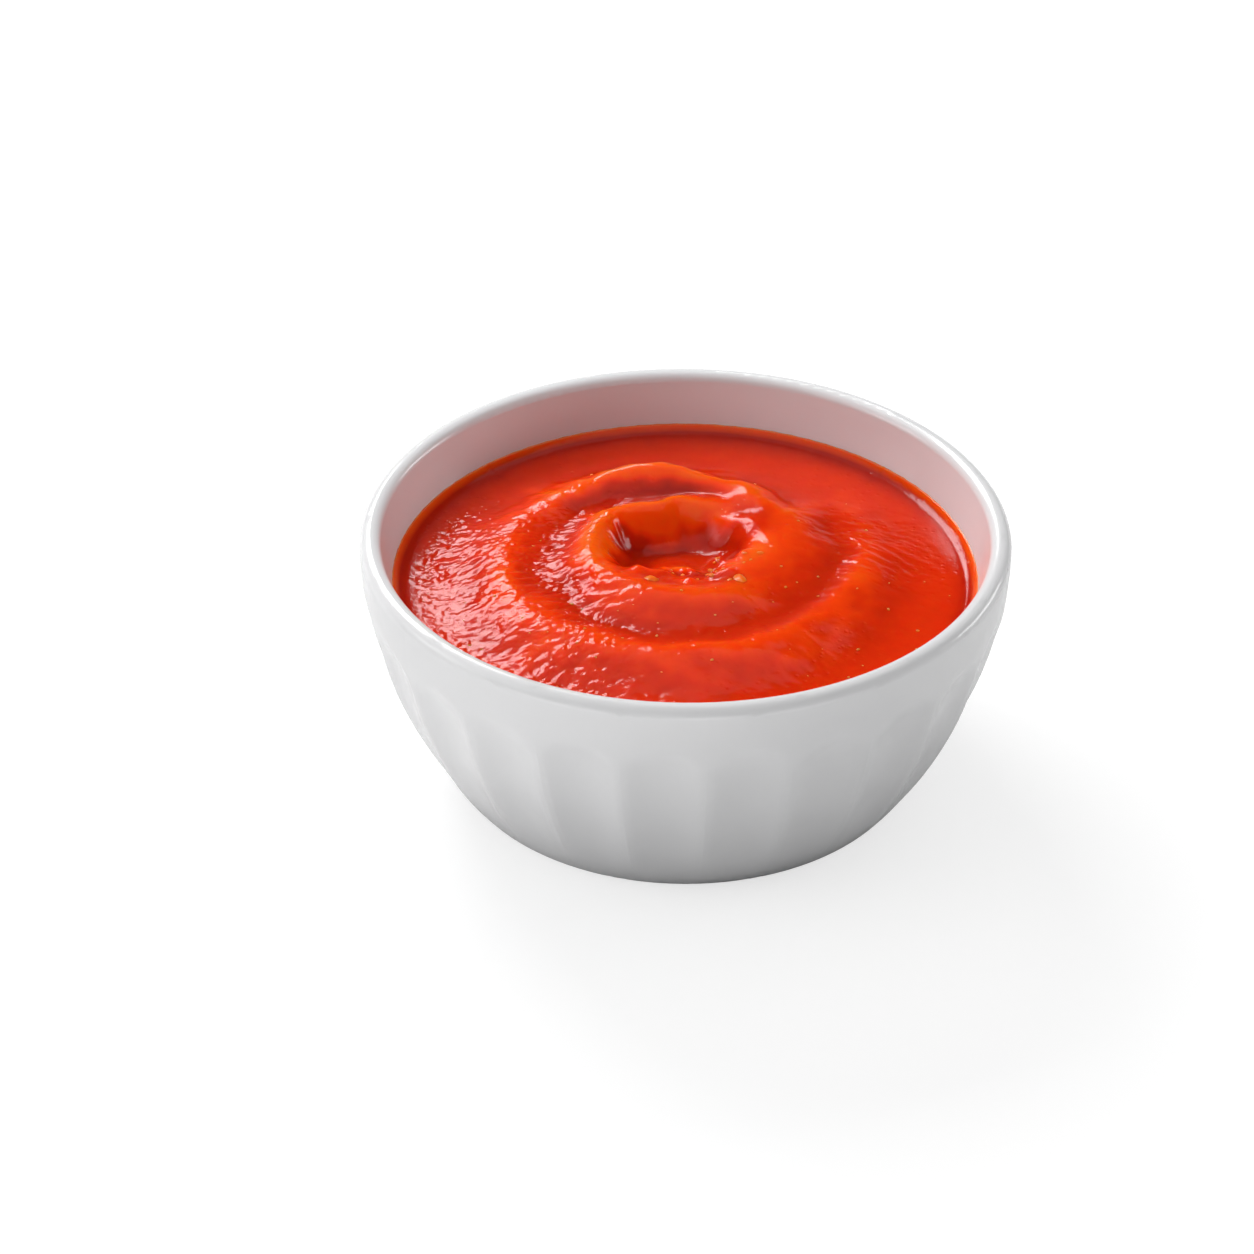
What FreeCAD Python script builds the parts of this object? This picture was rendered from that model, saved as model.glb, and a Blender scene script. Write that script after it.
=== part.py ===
"""A fluted porcelain dip bowl, filled with chili sauce that a spoon has swirled.

Millimetres. The origin is the middle of the foot on the table, with +Z up, and the
front is towards -Y. Two pieces: the bowl, and the sauce that fills it to its level.
"""

import FreeCAD, Part
import math
import os

from FreeCAD import Vector

# ---------------------------------------------------------------- bowl sizes
rim_radius = 50.0  # outside of the lip
bowl_height = 41.6
lip_thickness = 3.3  # fully rounded lip
wall_arc_radius = 64.0  # outside wall, upright where the lip begins
inner_lean_deg = 12.0  # the inside wall leans in by this much
belly_radius = 22.0  # inside, from the leaning wall to the floor
floor_thickness = 4.5
foot_corner_radius = 1.2
foot_ring_width = 3.0  # the ring that the bowl stands on
foot_recess_depth = 1.2  # underside, inside the foot ring
foot_recess_radius = 0.8  # rounding at the edge of the recess

# --------------------------------------------------------------- flute sizes
flute_count = 24
first_ridge_deg = 4.2  # from the front, towards +X
flute_depth = 1.35
flute_top_drop = 8.0  # from the top of the bowl to the top of an arch
arch_height = 6.6  # from an arch's top to where its flute is full width
flute_fade_share = 0.6  # where along the wall the flutes begin to die out
ridge_softness = 1.0  # rounding of the ridges, as a share of the depth
arch_softness = 0.35  # rounding of the arched tops, as a share of the depth

# --------------------------------------------------------------- sauce sizes
sauce_drop = 9.6  # from the top of the bowl down to the flat of the sauce
climb_height = 1.6  # the sauce creeps up the wall by this much
climb_width = 3.6  # and begins to rise this far from it
climb_limit = 1.5  # the climb is drawn on past the wall, to this many times its width
still_width = 1.5  # a flat ring between the swirl and the climb
calm_start = 24.0  # the radius where the swirl begins to die out
mound_height = 3.0  # the stirred middle stands above the flat
mound_radius = 21.0
mound_centre = (-0.5, 1.0)
hollow_centre = (-1.6, 6.6)  # where the spoon was lifted out
hollow_depth = 5.2
hollow_size = (9.0, 7.0)  # half its width and half its length, wall to wall
hollow_steepness = 4.0  # 2 is a soft dip, and more stands its walls up
swirl_centre = (-1.0, 5.0)
# The swirl's ridge, anticlockwise from above: the angle along it from +X, how far it
# runs from swirl_centre, how high it stands, and how wide it is on the side towards
# the middle and on the far side.
ridge_course = [
    (35, 16.5, 0.0, 4.0, 3.0),  # begins beside the hollow, on the right
    (70, 13.2, 1.3, 3.2, 2.6),
    (100, 10.8, 2.3, 2.8, 2.8),  # behind the hollow
    (160, 11.4, 2.5, 2.8, 4.0),
    (214, 12.8, 2.1, 3.2, 5.2),  # in front of it, on the left
    (284, 13.4, 1.6, 4.0, 7.0),
    (345, 15.4, 1.2, 5.0, 5.4),
    (380, 17.2, 1.5, 5.0, 4.6),  # one turn round
    (425, 18.6, 2.7, 3.2, 4.2),
    (462, 19.6, 4.4, 3.0, 4.6),  # the crest at the back, the highest point
    (490, 22.5, 2.8, 3.8, 5.6),
    (530, 26.5, 1.8, 5.2, 8.0),
    (575, 28.4, 2.4, 5.6, 9.0),  # the outer ring, on the left
    (620, 26.8, 1.7, 3.4, 9.0),
    (703, 27.0, 1.6, 3.2, 7.0),  # and in front, where it fades to the right
    (740, 29.0, 0.8, 3.4, 6.0),
    (775, 31.0, 0.0, 3.4, 6.0),
]

# ------------------------------------------------------------- how it is drawn
flute_columns = 17  # points across one flute
flute_rows = 41  # points down one flute
swirl_spacing = 1.1  # between the points of the sauce's top
cover_height = 11.0  # of the block cut away, over the flat of the sauce
joining_gap = 0.001  # faces of the bowl are joined where they are this close

up = Vector(0, 0, 1)
axis = Vector(0, 0, 0)
lip_radius = lip_thickness / 2
lip_centre = (rim_radius - lip_radius, bowl_height - lip_radius)
wall_centre = (rim_radius - wall_arc_radius, lip_centre[1])


def meridian(point):
    """A profile point (radius, height), in the plane of the front."""
    return Vector(0, -point[0], point[1])


def on_circle(centre, radius, angle_deg):
    angle = math.radians(angle_deg)
    return (centre[0] + radius * math.cos(angle), centre[1] + radius * math.sin(angle))


def line(a, b):
    return Part.LineSegment(meridian(a), meridian(b)).toShape()


def arc(centre, radius, from_deg, to_deg):
    middle_deg = (from_deg + to_deg) / 2
    angles = (from_deg, middle_deg, to_deg)
    return Part.Arc(*[meridian(on_circle(centre, radius, a)) for a in angles]).toShape()


def smooth_step(t):
    t = min(max(t, 0.0), 1.0)
    return t * t * (3 - 2 * t)


def smooth_max(a, b, blend):
    """The larger of two values, rounded where they are within blend of each other."""
    near = max(blend - abs(a - b), 0.0)
    return max(a, b) + near * near / (4 * blend)


# --------------------------------------------------------------- fluted wall
def foot_corner():
    """The rounded foot corner's centre, and how far down the wall's arc it touches."""
    reach = wall_arc_radius - foot_corner_radius
    end_deg = math.degrees(math.asin((wall_centre[1] - foot_corner_radius) / reach))
    return on_circle(wall_centre, reach, -end_deg), end_deg


corner_centre, wall_end_deg = foot_corner()
arch_top_deg = math.degrees(math.asin((flute_top_drop - lip_radius) / wall_arc_radius))
full_width_deg = arch_top_deg + math.degrees(arch_height / wall_arc_radius)


def flute_cut(across, down_deg):
    """How deep a flute is. across is 0 in the middle of a flute and 1 on a ridge."""
    fade_from = wall_end_deg * flute_fade_share
    faded = smooth_step((down_deg - fade_from) / (wall_end_deg - fade_from))
    rise = max(0.0, (full_width_deg - down_deg) / (full_width_deg - arch_top_deg))
    this_flute = 1 - across**2 - rise**2
    next_flute = 1 - (2 - across) ** 2 - rise**2
    scoop = smooth_max(this_flute, next_flute, ridge_softness)
    return flute_depth * (1 - faded) * smooth_max(scoop, 0.0, arch_softness)


def wall_point(turn_deg, across, down_deg):
    reach = wall_arc_radius - flute_cut(across, down_deg)
    radius, height = on_circle(wall_centre, reach, -down_deg)
    turn = math.radians(turn_deg)
    return Vector(radius * math.sin(turn), -radius * math.cos(turn), height)


def flute_face():
    """The outside wall over one flute, from ridge to ridge, centred on the front."""
    half_turn = 180.0 / flute_count
    steps = [2 * i / (flute_columns - 1) - 1 for i in range(flute_columns)]
    downs = [wall_end_deg * j / (flute_rows - 1) for j in range(flute_rows)]
    surface = Part.BSplineSurface()
    surface.interpolate(
        [[wall_point(half_turn * s, abs(s), down) for down in downs] for s in steps]
    )
    return surface.toShape()


# -------------------------------------------------------------- turned faces
def inner_profile(top=None):
    """The inside from the lip down to the middle of the floor, or from a lower level."""
    start = on_circle(lip_centre, lip_radius, 180 - inner_lean_deg)
    lean = math.tan(math.radians(inner_lean_deg))
    belly_z = floor_thickness + belly_radius
    belly_start_z = belly_z - belly_radius * math.sin(math.radians(inner_lean_deg))
    belly_start = (start[0] - (start[1] - belly_start_z) * lean, belly_start_z)
    belly_x = belly_start[0] - belly_radius * math.cos(math.radians(inner_lean_deg))
    if top is not None:
        start = (start[0] - (start[1] - top) * lean, top)
    return [
        line(start, belly_start),
        arc((belly_x, belly_z), belly_radius, -inner_lean_deg, -90),
        line((belly_x, floor_thickness), (0, floor_thickness)),
    ]


def lip_profile():
    return [
        arc(lip_centre, lip_radius, 0, 90),
        arc(lip_centre, lip_radius, 90, 180 - inner_lean_deg),
    ]


def foot_profile():
    """From the end of the fluted wall, under the foot ring, to the middle."""
    ring_inside = corner_centre[0] - foot_ring_width
    recess_centre = (ring_inside - foot_recess_radius, foot_recess_depth - foot_recess_radius)
    return [
        arc(corner_centre, foot_corner_radius, -wall_end_deg, -90),
        line((corner_centre[0], 0), (ring_inside, 0)),
        line((ring_inside, 0), (ring_inside, recess_centre[1])),
        arc(recess_centre, foot_recess_radius, 0, 90),
        line((recess_centre[0], foot_recess_depth), (0, foot_recess_depth)),
    ]


def bowl():
    """Turned lip, inside and foot, closed by the fluted wall: one flute, patterned."""
    profile = lip_profile() + inner_profile() + foot_profile()
    faces = [edge.revolve(axis, up, 360) for edge in profile]
    wall = flute_face()
    sector_deg = 360.0 / flute_count
    for i in range(flute_count):
        flute = wall.copy()
        flute.rotate(axis, up, first_ridge_deg + sector_deg * (i + 0.5))
        faces.append(flute)
    joined, _ = faces[0].generalFuse(faces[1:], joining_gap)
    skin = Part.makeCompound(joined.Faces)
    skin.sewShape(joining_gap)
    return Part.makeSolid(skin.Shells[0])


# --------------------------------------------------------------------- sauce
def inner_radius(height):
    """The radius of the leaning inside wall at a height."""
    start = on_circle(lip_centre, lip_radius, 180 - inner_lean_deg)
    return start[0] - (start[1] - height) * math.tan(math.radians(inner_lean_deg))


sauce_level = bowl_height - sauce_drop
wall_radius = inner_radius(sauce_level + climb_height)
still_radius = wall_radius - climb_width - still_width


def ridge_at(angle_deg):
    """The ridge's radius, height and two widths at an angle along its course."""
    for start, end in zip(ridge_course, ridge_course[1:]):
        if start[0] <= angle_deg <= end[0]:
            share = (angle_deg - start[0]) / (end[0] - start[0])
            eased = smooth_step(share)
            radius = start[1] + (end[1] - start[1]) * (share + eased) / 2
            return [radius] + [a + (b - a) * eased for a, b in zip(start[2:], end[2:])]
    return None


def swirl(x, y):
    """The ridge of the swirl over a point, summed over the turns that pass near it."""
    dx = x - swirl_centre[0]
    dy = y - swirl_centre[1]
    distance = math.hypot(dx, dy)
    angle_deg = math.degrees(math.atan2(dy, dx)) % 360
    total = 0.0
    while angle_deg <= ridge_course[-1][0]:
        here = ridge_at(angle_deg)
        if here:
            radius, height, inner_width, outer_width = here
            width = outer_width if distance > radius else inner_width
            total += height * math.exp(-(((distance - radius) / width) ** 2))
        angle_deg += 360
    return total


def hollow(x, y):
    """The depth of the spoon's hollow at a point: a flat floor between steep walls."""
    across = (x - hollow_centre[0]) / hollow_size[0]
    along = (y - hollow_centre[1]) / hollow_size[1]
    return hollow_depth * math.exp(-(math.hypot(across, along) ** hollow_steepness))


def sauce_height(x, y):
    radius = math.hypot(x, y)
    from_mound = math.hypot(x - mound_centre[0], y - mound_centre[1])
    mound = mound_height * math.exp(-((from_mound / mound_radius) ** 2))
    calm = smooth_step((radius - calm_start) / (still_radius - calm_start))
    stirred = (mound + swirl(x, y) - hollow(x, y)) * (1 - calm)
    climb = min(max(0.0, (radius - wall_radius) / climb_width + 1), climb_limit)
    return sauce_level + stirred + climb_height * climb**2


def sauce():
    """All the inside of the bowl, cut away above the swirled top."""
    cover = sauce_level + cover_height
    outline = inner_profile(cover)
    turned = [edge.revolve(axis, up, 360) for edge in outline]
    lid = line((0, cover), (inner_radius(cover), cover)).revolve(axis, up, 360)
    skin = Part.makeCompound(turned + [lid])
    skin.sewShape(joining_gap)
    inside = Part.makeSolid(skin.Shells[0])
    count = 2 * math.ceil((wall_radius + climb_width) / swirl_spacing) + 1
    steps = [(i - (count - 1) / 2) * swirl_spacing for i in range(count)]
    surface = Part.BSplineSurface()
    surface.interpolate([[Vector(x, y, sauce_height(x, y)) for y in steps] for x in steps])
    above = surface.toShape().extrude(Vector(0, 0, bowl_height))
    return inside.cut(above)


if __name__ == "__main__":
    os.makedirs("parts", exist_ok=True)
    for name, shape in (("bowl", bowl()), ("sauce", sauce())):
        shape.exportStep(f"parts/{name}.step")
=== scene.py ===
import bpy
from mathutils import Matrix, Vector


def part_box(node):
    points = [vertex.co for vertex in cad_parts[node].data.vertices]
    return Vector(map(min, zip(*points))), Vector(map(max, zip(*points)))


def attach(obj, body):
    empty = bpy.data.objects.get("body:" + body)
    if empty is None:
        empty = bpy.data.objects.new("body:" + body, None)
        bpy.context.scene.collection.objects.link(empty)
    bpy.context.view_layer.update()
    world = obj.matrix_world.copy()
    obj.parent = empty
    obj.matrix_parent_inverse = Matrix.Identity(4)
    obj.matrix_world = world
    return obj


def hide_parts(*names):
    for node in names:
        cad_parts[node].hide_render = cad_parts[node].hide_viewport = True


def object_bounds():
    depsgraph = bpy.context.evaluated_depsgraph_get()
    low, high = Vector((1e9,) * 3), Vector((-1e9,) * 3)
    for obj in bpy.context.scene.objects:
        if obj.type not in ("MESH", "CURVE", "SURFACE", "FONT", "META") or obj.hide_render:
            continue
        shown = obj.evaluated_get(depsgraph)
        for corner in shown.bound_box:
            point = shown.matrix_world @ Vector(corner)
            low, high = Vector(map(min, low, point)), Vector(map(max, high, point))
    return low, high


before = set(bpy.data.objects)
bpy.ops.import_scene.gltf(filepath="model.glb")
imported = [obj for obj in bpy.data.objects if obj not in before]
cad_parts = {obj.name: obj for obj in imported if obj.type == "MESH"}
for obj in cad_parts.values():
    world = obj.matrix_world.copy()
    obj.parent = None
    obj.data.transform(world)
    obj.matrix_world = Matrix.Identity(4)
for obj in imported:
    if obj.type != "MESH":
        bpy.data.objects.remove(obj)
cad_box = [list(corner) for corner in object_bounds()]

import math
import random

import bpy
import numpy as np
from mathutils import Vector, noise


# ---------------------------------------------------------------- the bowl
# A dip bowl of white porcelain, pressed in a fluted mould, dipped in clear glaze and
# fired. The glaze is thick and smooth, with a soft shine.

MM = 0.001  # in metres


def new_material(name):
    """A new node material and its surface shader."""
    material = bpy.data.materials.new(name)
    material.use_nodes = True
    return material, material.node_tree.nodes["Principled BSDF"]


def link(material, source, target):
    material.node_tree.links.new(source, target)


def add_node(material, kind, links=(), **settings):
    """Adds a shader node, sets its properties and sockets, and links its inputs."""
    node = material.node_tree.nodes.new(kind)
    for key, value in settings.items():
        if hasattr(node, key):
            setattr(node, key, value)
        else:
            node.inputs[key.replace("_", " ")].default_value = value
    for socket, source in dict(links).items():
        link(material, source, node.inputs[socket])
    return node


def color_ramp(material, source, *stops):
    """A colour ramp over a value from 0 to 1, given as (position, colour) stops."""
    node = add_node(material, "ShaderNodeValToRGB", {"Fac": source})
    ramp = node.color_ramp
    while len(ramp.elements) < len(stops):
        ramp.elements.new(0.5)
    for element, (position, color) in zip(ramp.elements, stops):
        element.position = position
        element.color = (*color, 1)
    return node.outputs["Color"]


def remap(material, source, from_low, from_high, to_low=0.0, to_high=1.0):
    """Carries a value from one span to another, held at the span's ends."""
    node = add_node(material, "ShaderNodeMapRange", {"Value": source})
    node.inputs["From Min"].default_value = from_low
    node.inputs["From Max"].default_value = from_high
    node.inputs["To Min"].default_value = to_low
    node.inputs["To Max"].default_value = to_high
    return node.outputs["Result"]


glaze, shader = new_material("white_glaze")
place = add_node(glaze, "ShaderNodeTexCoord").outputs["Object"]
cloud = add_node(glaze, "ShaderNodeTexNoise", {"Vector": place}, Scale=45.0, Detail=3.0)
white = color_ramp(glaze, cloud.outputs["Fac"], (0, (0.80, 0.80, 0.81)), (1, (0.84, 0.84, 0.845)))
link(glaze, white, shader.inputs["Base Color"])
sheen = remap(glaze, cloud.outputs["Fac"], 0.0, 1.0, 0.16, 0.24)
link(glaze, sheen, shader.inputs["Roughness"])
wave = add_node(glaze, "ShaderNodeTexNoise", {"Vector": place}, Scale=160.0, Detail=1.0)
relief = add_node(glaze, "ShaderNodeBump", {"Height": wave.outputs["Fac"]}, Strength=0.05)
relief.inputs["Distance"].default_value = 0.1 * MM
link(glaze, relief.outputs["Normal"], shader.inputs["Normal"])
shader.inputs["IOR"].default_value = 1.5

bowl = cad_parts["bowl"]
bowl.data.materials.clear()
bowl.data.materials.append(glaze)


# --------------------------------------------------------------- the sauce
# Smooth chili sauce with fine pulp in it, poured in and stirred with the back of a
# spoon. It holds the spoon's swirl, creeps up the glaze at its edge and shines wet.

cad_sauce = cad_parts["sauce"]
sauce_low, sauce_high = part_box("sauce")
sauce_radius = (sauce_high.x - sauce_low.x) / 2
rim = Vector((0, 0, cad_box[1][2]))  # the middle of the bowl's mouth
across = 300  # squares of the surface from side to side
wide = across + 1  # points from side to side


def disc_point(u, v):
    """Where a point of the square from -1 to 1 lies in a round disc."""
    if u == 0 and v == 0:
        return 0.0, 0.0
    if abs(u) > abs(v):
        turn = math.pi / 4 * v / u
        return u * math.cos(turn), u * math.sin(turn)
    turn = math.pi / 2 - math.pi / 4 * u / v
    return v * math.cos(turn), v * math.sin(turn)


def top_of(piece, x, y):
    """The height of a piece's surface over a point."""
    hit, place, _, _ = piece.ray_cast(Vector((x, y, rim.z)), Vector((0, 0, -1)))
    return place.z if hit else sauce_high.z


def share(value, none, full):
    """0 up to one value, 1 from another, and even in between."""
    return min(1.0, max(0.0, (value - none) / (full - none)))


def smoothed(heights, times):
    """Each height moved towards the mean of the four beside it, a number of times."""
    result = heights.copy()
    for _ in range(times):
        beside = result[2:, 1:-1] + result[:-2, 1:-1] + result[1:-1, 2:] + result[1:-1, :-2]
        result[1:-1, 1:-1] = result[1:-1, 1:-1] * 0.5 + beside * 0.125
    return result


# The height of the poured solid under every point. The climb at the edge is drawn in
# towards the glaze, and the swirl sways sideways as a spoon's track does.
noise.seed_set(11)  # without it the sway differs on every run
climb_squeeze = 1.5
climb_shift = 1.2 * MM
edge_gap = 0.25 * MM  # keeps the outermost points on the solid
sway_fade = 6 * MM
sways = [(0.14, 1.5), (0.42, 0.5)]  # how often per mm, and how far in mm
steps = np.linspace(-1, 1, wide)
plan = np.array([[disc_point(u, v) for v in steps] for u in steps]) * sauce_radius
tops = np.zeros((wide, wide))
for i in range(wide):
    for j in range(wide):
        out = math.hypot(*plan[i, j])
        inset = sauce_radius - out
        inset = min(climb_squeeze * inset, inset + climb_shift) + edge_gap
        x, y = plan[i, j] * (sauce_radius - inset) / max(out, MM)
        still = share(0.97 * sauce_radius - math.hypot(x, y), 0, sway_fade)
        at = Vector((x, y, 0)) / MM
        sway = sum((noise.noise_vector(at * often) * far for often, far in sways), Vector())
        x += still * sway.x * MM
        y += still * sway.y * MM
        tops[i, j] = top_of(cad_sauce, x, y)
tops = smoothed(tops, 4)

# How thin the sauce is: above 0 on a crest and below 0 in a groove. The wall between the spoon's
# hollow and the ridge behind it is counted as thin too, so that it is painted a lighter orange,
# as if lit through from behind.
crest_height = 0.9 * MM
thinness_with_glow = (tops - smoothed(tops, 300)) / crest_height
steepness = np.hypot(*np.gradient(tops)) * across / (2 * sauce_radius)
for i in range(wide):
    for j in range(wide):
        x, y = plan[i, j] / MM
        # Painted glow: the steep wall of the hollow is raised in this mask, so that it is painted
        # a lighter orange.
        hollow_wall_glow = math.exp(-(((x + 3) / 7) ** 2) - ((y - 9) / 5) ** 2)
        thinness_with_glow[i, j] += 2.2 * hollow_wall_glow * min(1.0, steepness[i, j])

# Soft lumps, each (x, y, size, height) in mm: three broad swellings in and behind the
# spoon's hollow, and forty of pulp, most of them gathered at its front.
random.seed(7)
lumps = [(8.6, 12.0, 3.4, 1.0), (5.2, 13.4, 1.8, 0.5), (-1.2, 5.6, 3.6, 1.1)]
for _ in range(40):
    turn = random.gauss(-0.75, 0.8)
    reach = random.uniform(4.5, 11.5)
    size = random.uniform(0.7, 1.7)
    at_x = reach * math.cos(turn) - 0.5
    at_y = reach * math.sin(turn) * 0.95 + 5
    lumps.append((at_x, at_y, size, 0.34 * size))


def soft_lumps(x, y):
    """How far the lumps raise the sauce at a point, in mm."""
    total = 0.0
    for at_x, at_y, size, height in lumps:
        away = ((x - at_x) ** 2 + (y - at_y) ** 2) / size**2
        if away < 6:
            total += height * math.exp(-away)
    return total


# Ripples run along wide arcs round a point in front of the bowl, as the sauce slumped.
# They are strong where the spoon went in on the left and where it came out on the
# right, and they die away at the back and by the edge.
slump = Vector((0, -62))
for i in range(wide):
    for j in range(wide):
        x, y = plan[i, j] / MM
        from_slump = Vector((x, y)) - slump
        turn = math.atan2(from_slump.x, from_slump.y)
        along = Vector((turn * from_slump.length * 0.36, from_slump.length * 0.8, 3.0))
        ripple = noise.fractal(along, 0.8, 2.1, 4)
        grain = noise.fractal(Vector((x, y, 4.0)) * 1.3, 1.0, 2.0, 2)
        patch = 0.5 + 0.5 * math.tanh(3.5 * noise.noise(Vector((x, y, 9.0)) * 0.07))
        left = share(x, -1, -15)
        right = math.exp(-(((x - 29) / 11) ** 2) - ((y - 4) / 8) ** 2)
        front = max(0.1, share(y, 27, 13))
        inner = share(sauce_radius / MM - math.hypot(x, y), 3.2, 5.7)
        stirred = inner * front * (0.5 + 0.9 * left + 0.7 * right)
        texture = ripple * (0.035 + 0.09 * patch) + grain * (0.022 + 0.045 * left)
        tops[i, j] += MM * (stirred * texture + soft_lumps(x, y))

# The surface, closed underneath by rings drawn in and down inside the bowl, each given
# as (share of the width, mm below the edge).
points = [(*plan[i, j], tops[i, j]) for i in range(wide) for j in range(wide)]
faces = [
    (i * wide + j, (i + 1) * wide + j, (i + 1) * wide + j + 1, i * wide + j + 1)
    for i in range(across)
    for j in range(across)
]
edge_ring = (
    [i * wide for i in range(across)]
    + [across * wide + j for j in range(across)]
    + [i * wide + across for i in range(across, 0, -1)]
    + list(range(across, 0, -1))
)
ring = edge_ring
for scale, depth in [(0.985, 6.0), (0.9, 16.0), (0.7, 24.0), (0.4, 27.5)]:
    first = len(points)
    for k in edge_ring:
        x, y, z = points[k]
        points.append((x * scale, y * scale, z - depth * MM))
    lower = list(range(first, len(points)))
    for k in range(len(ring)):
        n = (k + 1) % len(ring)
        faces.append((ring[k], lower[k], lower[n], ring[n]))
    ring = lower
faces.append(tuple(reversed(ring)))


def smooth_piece(name, points, faces, material):
    """A new piece with smooth faces, in one material."""
    mesh = bpy.data.meshes.new(name)
    mesh.from_pydata(points, [], faces)
    mesh.validate()
    for polygon in mesh.polygons:
        polygon.use_smooth = True
    mesh.materials.append(material)
    piece = bpy.data.objects.new(name, mesh)
    bpy.context.scene.collection.objects.link(piece)
    return piece


red, shader = new_material("chili_sauce")
sauce = smooth_piece("sauce_body", points, faces, red)
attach(sauce, "root")
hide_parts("sauce")

film_width = 2.4 * MM  # how far from the glaze the sauce thins out
# The points keep how thin the sauce is, which also sets its painted glow and shade, and how near
# it lies to the glaze.
thin_glow = sauce.data.attributes.new("thin_glow", "FLOAT", "POINT")
edge = sauce.data.attributes.new("edge", "FLOAT", "POINT")
thin_glow.data.foreach_set("value", np.append(thinness_with_glow.ravel(), np.zeros(len(points) - wide * wide)))
for k, (x, y, _) in enumerate(points):
    edge.data[k].value = max(0.0, 1 - (sauce_radius - math.hypot(x, y)) / film_width)


def math_node(material, operation, a, b):
    """A sum or product of two values, each a number or another node's output."""
    node = add_node(material, "ShaderNodeMath", operation=operation)
    for socket, value in zip(node.inputs, (a, b)):
        if isinstance(value, (int, float)):
            socket.default_value = value
        else:
            link(material, value, socket)
    return node.outputs["Value"]


def blend_in(material, amount, base, color):
    """Blends one colour into a base, by an amount from 0 to 1."""
    node = add_node(material, "ShaderNodeMix", data_type="RGBA")
    link(material, amount, node.inputs["Factor"])
    link(material, base, node.inputs[6])  # colour A
    node.inputs[7].default_value = (*color, 1)  # colour B
    return node.outputs[2]


# Painted light and shade: crests and the hollow's wall are painted a light orange, as if lit
# through from behind, and grooves a dark red, as if in shade. The film by the glaze is orange,
# and paler at its very edge.
place = add_node(red, "ShaderNodeTexCoord").outputs["Object"]
crest_glow = add_node(red, "ShaderNodeAttribute", attribute_name="thin_glow").outputs["Fac"]
film = add_node(red, "ShaderNodeAttribute", attribute_name="edge").outputs["Fac"]
blotch = add_node(red, "ShaderNodeTexNoise", {"Vector": place}, Scale=240.0, Detail=4.0)
blotches = math_node(red, "MULTIPLY", blotch.outputs["Fac"], 0.22)
body = color_ramp(
    red,
    math_node(red, "ADD", remap(red, crest_glow, -0.9, 1.1), blotches),
    (0.2, (0.48, 0.011, 0.0002)),
    (0.56, (0.74, 0.028, 0.0003)),
    (0.75, (0.93, 0.060, 0.0005)),
    (0.95, (0.99, 0.110, 0.0008)),
)
body = blend_in(red, remap(red, film, 0.5, 0.9), body, (0.96, 0.10, 0.002))
body = blend_in(red, remap(red, film, 0.86, 1.0), body, (0.97, 0.30, 0.12))
link(red, body, shader.inputs["Base Color"])

# Red light travels some millimetres in the sauce, and furthest through the crests.
glow = remap(red, crest_glow, -0.3, 0.9, 1.6 * MM, 8.0 * MM)
glow = math_node(red, "MULTIPLY", glow, remap(red, film, 0.0, 0.6, 1.0, 0.1))
link(red, glow, shader.inputs["Subsurface Scale"])
shader.inputs["Subsurface Weight"].default_value = 1.0
shader.inputs["Subsurface Radius"].default_value = (1.0, 0.14, 0.03)
shader.inputs["Roughness"].default_value = 0.12
shader.inputs["IOR"].default_value = 1.40
shader.inputs["Specular IOR Level"].default_value = 0.25

# Fine pulp and pits, finer than the mesh can hold.
cells = add_node(red, "ShaderNodeTexVoronoi", {"Vector": place}, Scale=640.0)
pits = remap(red, cells.outputs["Distance"], 0.0, 0.26)
fine = add_node(red, "ShaderNodeTexNoise", {"Vector": place}, Scale=900.0, Detail=2.0)
pulp = math_node(red, "ADD", pits, math_node(red, "MULTIPLY", fine.outputs["Fac"], 0.7))
relief = add_node(red, "ShaderNodeBump", {"Height": pulp}, Strength=0.5)
relief.inputs["Distance"].default_value = 0.10 * MM
link(red, relief.outputs["Normal"], shader.inputs["Normal"])


# --------------------------------------------------- pulp and flecks of chili
# Bits of pepper that the mill left whole: two soft orange lumps and some crumbs round
# the spoon's hollow, and pale flecks of seed all over. All are sunk in the sauce.

def sunken_bits(name, bits, sides, material):
    """One piece of uneven flat bits, each given as (x, y, width, sunk share)."""
    points, faces = [], []
    rings = sides // 2
    for x, y, size, sunk in bits:
        spin = random.uniform(0, math.tau)
        stretch = random.uniform(0.75, 1.3)
        middle = top_of(sauce, x, y) + size * (0.5 - sunk) * 0.4
        first = len(points)
        for a in range(rings + 1):
            tilt = math.pi * a / rings
            flat = math.sin(tilt)
            for b in range(sides):
                turn = math.tau * b / sides
                way = Vector((flat * math.cos(turn), flat * math.sin(turn), math.cos(tilt)))
                uneven = 1 + 0.28 * noise.noise(way * 1.3 + Vector((x, y, 0)) * 900)
                px, py = way.x * stretch, way.y / stretch
                points.append((
                    x + size / 2 * uneven * (px * math.cos(spin) - py * math.sin(spin)),
                    y + size / 2 * uneven * (px * math.sin(spin) + py * math.cos(spin)),
                    middle + size * 0.2 * uneven * way.z,
                ))
        for a in range(rings):
            for b in range(sides):
                c = (b + 1) % sides
                upper = first + a * sides
                lower = upper + sides
                faces.append((upper + b, lower + b, lower + c, upper + c))
    piece = smooth_piece(name, points, faces, material)
    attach(piece, "root")


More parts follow.
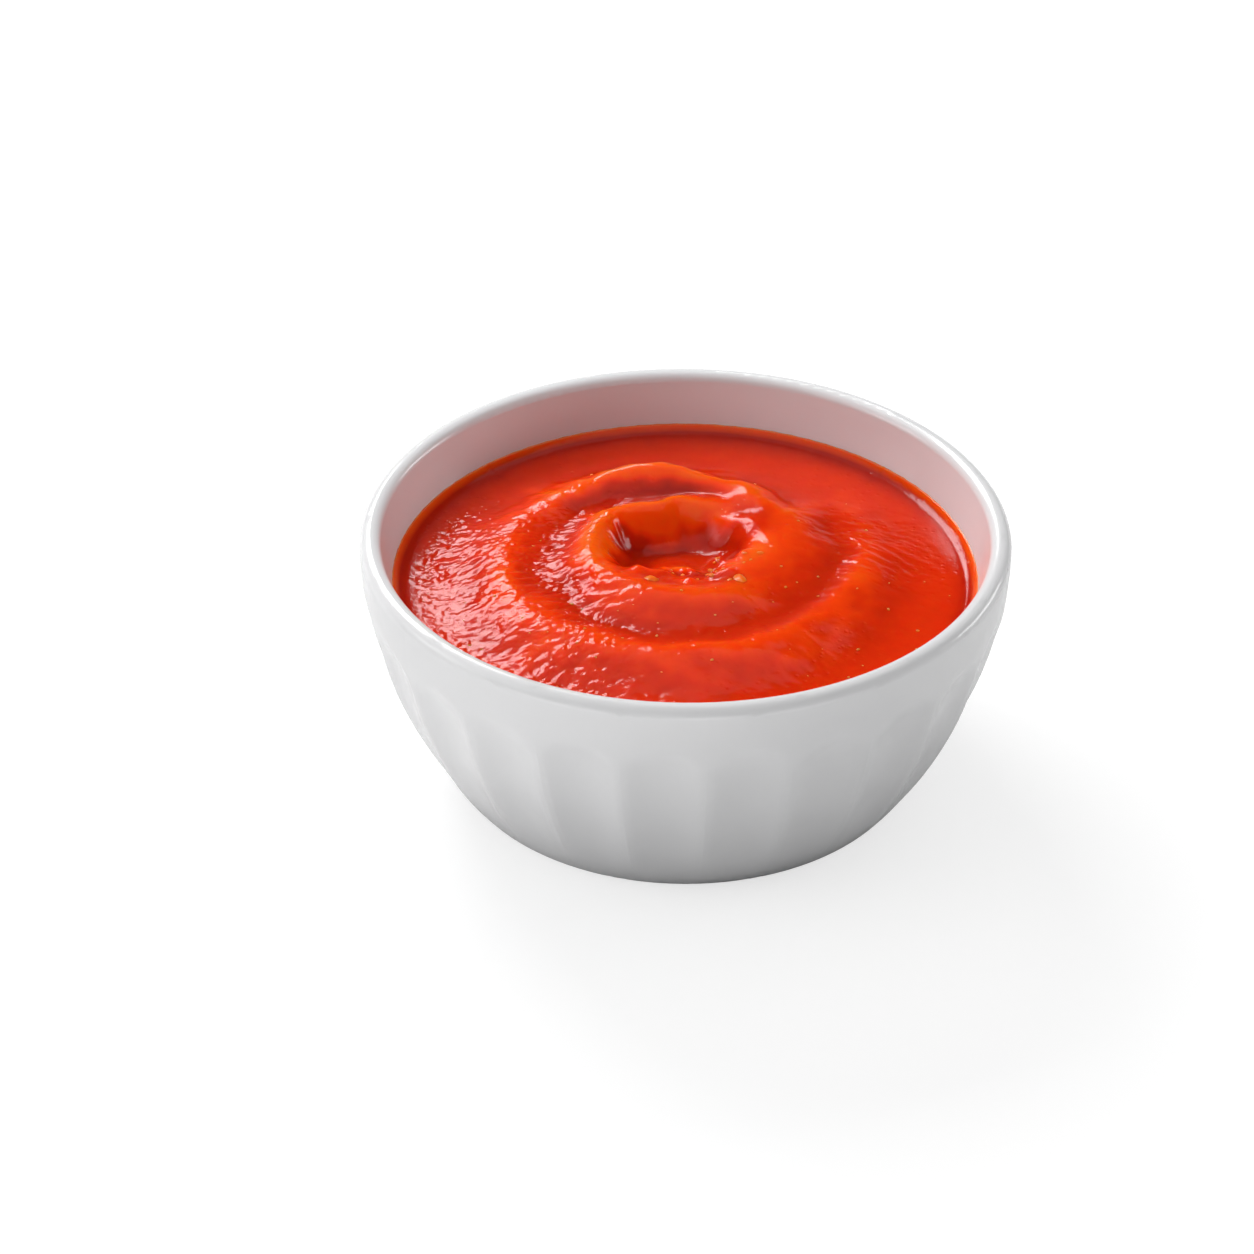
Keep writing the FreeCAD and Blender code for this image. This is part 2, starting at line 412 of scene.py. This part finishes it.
def bit_material(name, dark, light):
    """Soft, wet flesh that varies between two colours."""
    material, shader = new_material(name)
    place = add_node(material, "ShaderNodeTexCoord").outputs["Object"]
    tone = add_node(material, "ShaderNodeTexNoise", {"Vector": place}, Scale=700.0)
    flesh = color_ramp(material, tone.outputs["Fac"], (0.3, dark), (0.7, light))
    link(material, flesh, shader.inputs["Base Color"])
    shader.inputs["Subsurface Weight"].default_value = 1.0
    shader.inputs["Subsurface Radius"].default_value = (1.0, 1.0, 1.0)
    shader.inputs["Subsurface Scale"].default_value = 0.8 * MM
    shader.inputs["Roughness"].default_value = 0.3
    shader.inputs["Specular IOR Level"].default_value = 0.25
    return material


orange = bit_material("pepper_flesh", (0.98, 0.13, 0.002), (1.0, 0.20, 0.006))
pale = bit_material("seed_flecks", (0.98, 0.18, 0.01), (0.99, 0.34, 0.05))

# The two lumps, then crumbs scattered round the front of the hollow.
crumbs = [(-5.4 * MM, -6.4 * MM, 2.6 * MM, 0.8), (8.5 * MM, -5.6 * MM, 3.0 * MM, 0.8)]
for _ in range(16):
    turn = random.gauss(-0.9, 0.9)
    reach = random.uniform(5, 13) * MM
    size = random.uniform(0.5, 1.1) * MM
    crumbs.append((reach * math.cos(turn), reach * math.sin(turn) + 4 * MM, size, 0.7))
sunken_bits("pepper_bits", crumbs, 14, orange)

# Flecks lie thicker in front than at the back.
spread = 41 * MM
flecks = []
while len(flecks) < 70:
    x = random.uniform(-1, 1)
    y = random.uniform(-1, 1)
    if math.hypot(x, y) < 1 and random.random() < 0.35 - 0.6 * min(0.4, y):
        flecks.append((x * spread, y * spread, random.uniform(0.25, 0.6) * MM, 0.6))
sunken_bits("seed_flecks", flecks, 8, pale)


# ------------------------------------------------- table, lights and camera
# A white table in a pale room, with a bright soft box behind on the left, a wide dim
# ceiling, low fills at both sides and a white card lying in front of the bowl.

half = 4.0
table_mesh = bpy.data.meshes.new("table")
corners = [(-half, -half, 0), (half, -half, 0), (half, half, 0), (-half, half, 0)]
table_mesh.from_pydata(corners, [], [(0, 1, 2, 3)])
table = bpy.data.objects.new("table", table_mesh)
bpy.context.scene.collection.objects.link(table)

# Seen directly, the paper is nearly white and its shadow is paler than the real one.
paper, shader = new_material("white_paper")
shader.inputs["Base Color"].default_value = (0.85, 0.85, 0.85, 1)
shader.inputs["Roughness"].default_value = 0.9
shader.inputs["Specular IOR Level"].default_value = 0.0
dimmed = add_node(paper, "ShaderNodeMixShader", Fac=0.55)
link(paper, shader.outputs["BSDF"], dimmed.inputs[1])
backlight = add_node(paper, "ShaderNodeEmission", Strength=0.70)
bright = add_node(paper, "ShaderNodeAddShader")
link(paper, dimmed.outputs["Shader"], bright.inputs[0])
link(paper, backlight.outputs["Emission"], bright.inputs[1])
ray = add_node(paper, "ShaderNodeLightPath")
seen = add_node(paper, "ShaderNodeMixShader", {"Fac": ray.outputs["Is Camera Ray"]})
link(paper, shader.outputs["BSDF"], seen.inputs[1])
link(paper, bright.outputs["Shader"], seen.inputs[2])
link(paper, seen.outputs["Shader"], paper.node_tree.nodes["Material Output"].inputs["Surface"])
table_mesh.materials.append(paper)

world = bpy.data.worlds.new("room")
bpy.context.scene.world = world
world.use_nodes = True
background = world.node_tree.nodes["Background"]
background.inputs["Color"].default_value = (1, 1, 1, 1)
ray = add_node(world, "ShaderNodeLightPath")
level = remap(world, ray.outputs["Is Camera Ray"], 0.0, 1.0, 0.08, 1.0)
link(world, level, background.inputs["Strength"])


def area_lamp(name, wide, tall, power):
    data = bpy.data.lights.new(name, "AREA")
    data.shape = "RECTANGLE"
    data.size = wide
    data.size_y = tall
    data.energy = power
    lamp = bpy.data.objects.new(name, data)
    bpy.context.scene.collection.objects.link(lamp)
    return lamp


def soft_box(name, azimuth, elevation, distance, wide, tall, power):
    """An area lamp aimed at the bowl. Azimuth is from the back (+Y) towards the left."""
    lamp = area_lamp(name, wide, tall, power)
    turn = math.radians(azimuth)
    rise = math.radians(elevation)
    level = math.cos(rise)
    away = Vector((-math.sin(turn) * level, math.cos(turn) * level, math.sin(rise)))
    lamp.location = rim + away * distance
    lamp.rotation_euler = (-away).to_track_quat("-Z", "Y").to_euler()


soft_box("back_window", 26, 37, 0.8, 0.42, 0.28, 4.4)
soft_box("left_low", 96, 15, 0.8, 0.4, 0.24, 0.8)
soft_box("left_front", 106, 30, 0.8, 0.6, 0.36, 1.0)
soft_box("right_low", -68, 10, 0.8, 0.4, 0.16, 1.4)
soft_box("ceiling", 80, 84, 0.9, 1.4, 1.4, 5.8)

card = area_lamp("reflector", 1.0, 0.6, 2.3)
card.location = (-0.22, -0.41, 0.002)
card.rotation_euler = (math.pi, 0, 0)
card.visible_camera = False

# A long lens looks down from the front, aimed a little to the left of the bowl's middle
# and below its mouth.
distance = 0.6
elevation = math.radians(31.9)
back = Vector((0, -math.cos(elevation), math.sin(elevation)))
right = Vector((1, 0, 0))
over = right.cross(-back)
aim = rim - right * 8.813 * MM - over * 15.569 * MM
camera_data = bpy.data.cameras.new("camera")
camera_data.sensor_width = 36.0
camera_data.lens = 112.186
camera_data.clip_start = 0.01
camera = bpy.data.objects.new("camera", camera_data)
bpy.context.scene.collection.objects.link(camera)
camera.location = rim + back * distance
camera.rotation_euler = (aim - camera.location).to_track_quat("-Z", "Y").to_euler()
bpy.context.scene.camera = camera
bpy.context.scene.view_settings.view_transform = "Standard"
